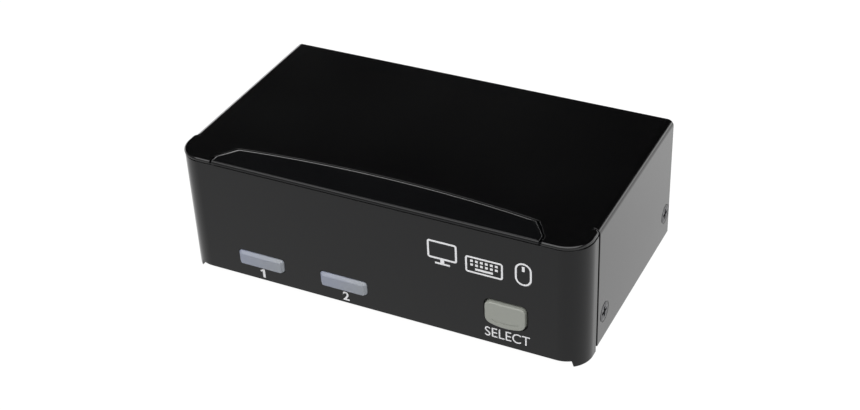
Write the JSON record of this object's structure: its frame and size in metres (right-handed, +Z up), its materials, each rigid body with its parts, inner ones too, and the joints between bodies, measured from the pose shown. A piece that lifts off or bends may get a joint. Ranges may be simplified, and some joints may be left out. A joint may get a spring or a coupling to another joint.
{
  "type": "kvm switch",
  "caption": "Desktop switch box for a keyboard, mouse and monitor: bent steel cover, rounded plastic bezel, port windows, select button and rear sockets.",
  "frame": {"origin": "on the resting surface, under the middle of the whole object", "axes": "+X to the right seen from the front, +Y to the rear sockets, +Z up"},
  "size_m": [0.13, 0.079, 0.0428],
  "materials": {
    "cover_steel": "satin black powder coat",
    "tray_steel": "satin black powder coat",
    "bezel_plastic": "fine-textured black moulding",
    "window_plastic": "frosted translucent window",
    "button_plastic": "smooth grey moulding",
    "black_plastic": "matt",
    "bright_steel": "bright plated",
    "black_steel": "black zinc",
    "tinned_copper": "tinned",
    "board_laminate": "green solder mask",
    "spacer_brass": "turned",
    "foot_rubber": "matt",
    "blue_plastic": "moulded",
    "white_plastic": "moulded",
    "contact_gold": "gold flash",
    "led_resin": "clear tinted resin",
    "chip_resin": "moulded epoxy",
    "capacitor_sleeve": "shrink sleeve",
    "ceramic_tan": "ceramic"
  },
  "bodies": {
    "case": {"base_tray": "tray_steel", "lid": "cover_steel", "front_bezel": "bezel_plastic", "port_lens_1": "window_plastic", "port_lens_2": "window_plastic", "switch_body": "black_plastic", "switch_dome": "bright_steel", "switch_legs": "tinned_copper", "main_board": "board_laminate", "video_board": "board_laminate", "tray_studs": "bright_steel", "board_spacers": "spacer_brass", "board_screws": "bright_steel", "case_screws": "black_steel", "rubber_feet": "foot_rubber", "jack_screws": "bright_steel", "monitor_socket_shell": "bright_steel", "monitor_socket_insert": "blue_plastic", "monitor_socket_contacts": "contact_gold", "computer_1_video_shell": "bright_steel", "computer_1_video_insert": "blue_plastic", "computer_1_video_contacts": "contact_gold", "computer_2_video_shell": "bright_steel", "computer_2_video_insert": "blue_plastic", "computer_2_video_contacts": "contact_gold", "computer_1_usb_shell": "bright_steel", "computer_1_usb_insert": "white_plastic", "computer_1_usb_contacts": "contact_gold", "computer_2_usb_shell": "bright_steel", "computer_2_usb_insert": "white_plastic", "computer_2_usb_contacts": "contact_gold", "keyboard_mouse_shell": "bright_steel", "keyboard_mouse_insert": "white_plastic", "keyboard_mouse_contacts": "contact_gold", "power_jack_body": "black_plastic", "power_jack_pin": "bright_steel", "power_jack_spring": "tinned_copper", "led_1": "led_resin", "led_2": "led_resin", "led_leads": "tinned_copper", "buzzer": "black_plastic", "buzzer_cap": "black_plastic", "controller_chip": "chip_resin", "usb_hub_chip": "chip_resin", "video_switch_chips": "chip_resin", "chip_legs": "tinned_copper", "crystal": "bright_steel", "bulk_capacitors": "capacitor_sleeve", "voltage_regulator": "chip_resin", "board_header": "black_plastic", "header_pins": "contact_gold", "board_socket": "black_plastic", "chip_capacitors": "ceramic_tan", "chip_resistors": "chip_resin"},
    "button": {"select_button": "button_plastic", "switch_plunger": "black_plastic"}
  },
  "joints": [
    {"name": "button_press", "type": "slide", "parent": "case", "child": "button", "axis": [0, 1, 0], "range_m": [0, 0.0006], "stiffness_N_per_m": 3000, "springref_m": -0.0001}
  ]
}
